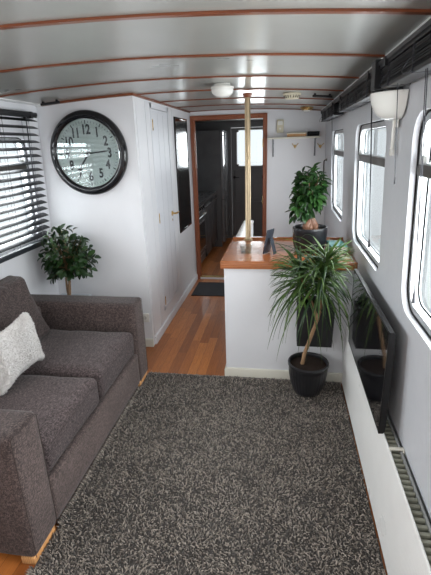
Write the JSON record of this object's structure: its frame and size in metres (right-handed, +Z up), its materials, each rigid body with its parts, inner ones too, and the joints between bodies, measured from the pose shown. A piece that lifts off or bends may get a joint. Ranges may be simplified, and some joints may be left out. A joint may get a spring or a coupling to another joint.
{
  "type": "houseboat deckhouse with furnished saloon and galley",
  "caption": "Long low deckhouse of a houseboat with a cambered roof, square side windows, glazed end doors, and a furnished saloon and galley inside.",
  "frame": {"origin": "on the surface it stands on, under the middle of its length and width", "axes": "+Z up, +Y along the boat towards the bow, +X to starboard"},
  "size_m": [2.516, 8.28, 2.1789],
  "materials": {
    "side_paint": "cream gloss paint",
    "inner_white": "cool white satin paint on panel",
    "grey_paint": "dark grey satin paint on panel",
    "ceiling_lacquer": "pale grey high-gloss lining panel",
    "batten_wood": "varnished red-brown hardwood",
    "frame_wood": "varnished mahogany",
    "sole_wood": "brown oak boards, satin",
    "worktop_wood": "thickly varnished orange-brown wood",
    "polished_brass": "polished",
    "window_metal": "anodised satin",
    "glazing": "clear",
    "mirror_glass": "silvered, dark frame",
    "blind_slat": "satin black slats",
    "shelf_cream": "cream paint",
    "cream_enamel": "off-white enamel",
    "screen_black": "black gloss",
    "opal_glass": "opal white",
    "clock_black": "black gloss rim round a pale dial",
    "settee_tweed": "grey-brown tweed",
    "pillow_fur": "off-white long pile",
    "rug_pile": "grey-taupe shaggy pile",
    "mat_black": "black ribbed mat",
    "dark_front": "dark grey satin laminate",
    "galley_steel": "brushed",
    "foliage": "green leaf",
    "planter_black": "satin black"
  },
  "bodies": {
    "deckhouse": {"sole": "sole_wood", "starboard_side": "side_paint", "port_side": "side_paint", "ceiling_lining": "ceiling_lacquer", "roof": "side_paint", "aft_bulkhead": "inner_white", "forward_bulkhead": "grey_paint", "saloon_bulkhead": "inner_white", "saloon_door_frame": "frame_wood", "ceiling_battens": "batten_wood", "clock_wall": "inner_white", "wardrobe_front": "inner_white", "passage_mirror": "mirror_glass", "window_frame_starboard_1": "window_metal", "window_pane_starboard_1": "glazing", "window_frame_starboard_2": "window_metal", "window_pane_starboard_2": "glazing", "window_frame_starboard_3": "window_metal", "window_pane_starboard_3": "glazing", "window_frame_port_1": "window_metal", "window_pane_port_1": "glazing", "window_frame_port_2": "window_metal", "window_pane_port_2": "glazing", "port_blinds": "blind_slat", "starboard_blinds": "blind_slat", "counter": "inner_white", "counter_top": "worktop_wood", "half_wall": "inner_white", "brass_pole": "polished_brass", "shelf": "shelf_cream", "radiator": "cream_enamel", "television": "screen_black", "wall_lamp": "opal_glass", "wall_clock": "clock_black", "settee_frame": "settee_tweed", "seat_cushion_aft": "settee_tweed", "back_cushion_aft": "settee_tweed", "seat_cushion_forward": "settee_tweed", "back_cushion_forward": "settee_tweed", "scatter_cushion": "pillow_fur", "rug": "rug_pile", "door_mat": "mat_black", "galley_units": "dark_front", "galley_top": "galley_steel", "tall_unit": "grey_paint", "corner_plant": "foliage", "counter_plant": "foliage", "floor_plant": "foliage", "wall_planter": "planter_black", "grab_rail_starboard": "frame_wood", "grab_rail_port": "frame_wood"},
    "aft_door": {"aft_door": "inner_white", "aft_door_glass": "glazing"},
    "forward_door": {"forward_door": "grey_paint", "forward_door_glass": "glazing"},
    "wardrobe_door": {"wardrobe_door": "inner_white"},
    "oven_door": {"oven_door": "dark_front"},
    "cupboard_door_aft": {"cupboard_door_aft": "dark_front"},
    "cupboard_door_forward": {"cupboard_door_forward": "dark_front"},
    "tall_unit_door": {"tall_unit_door": "grey_paint"}
  },
  "joints": [
    {"name": "aft_door_hinge", "type": "hinge", "parent": "deckhouse", "child": "aft_door", "pos_m": [-0.36, -4.084, 1.06], "axis": [0, 0, -1], "range_deg": [0, 110]},
    {"name": "forward_door_hinge", "type": "hinge", "parent": "deckhouse", "child": "forward_door", "pos_m": [-0.2, 4.084, 1.06], "axis": [0, 0, 1], "range_deg": [0, 110]},
    {"name": "wardrobe_door_hinge", "type": "hinge", "parent": "deckhouse", "child": "wardrobe_door", "pos_m": [-0.371, 0.16, 1.16], "axis": [0, 0, -1], "range_deg": [0, 100]},
    {"name": "oven_door_hinge", "type": "hinge", "parent": "deckhouse", "child": "oven_door", "pos_m": [-0.3635, 1.977, 0.355], "axis": [0, 1, 0], "range_deg": [0, 90]},
    {"name": "cupboard_door_aft_hinge", "type": "hinge", "parent": "deckhouse", "child": "cupboard_door_aft", "pos_m": [-0.3635, 2.287, 0.6], "axis": [0, 0, -1], "range_deg": [0, 90]},
    {"name": "cupboard_door_forward_hinge", "type": "hinge", "parent": "deckhouse", "child": "cupboard_door_forward", "pos_m": [-0.3635, 3.315, 0.6], "axis": [0, 0, 1], "range_deg": [0, 90]},
    {"name": "tall_unit_door_hinge", "type": "hinge", "parent": "deckhouse", "child": "tall_unit_door", "pos_m": [-0.2465, 3.978, 1.06], "axis": [0, 0, 1], "range_deg": [0, 90]}
  ]
}
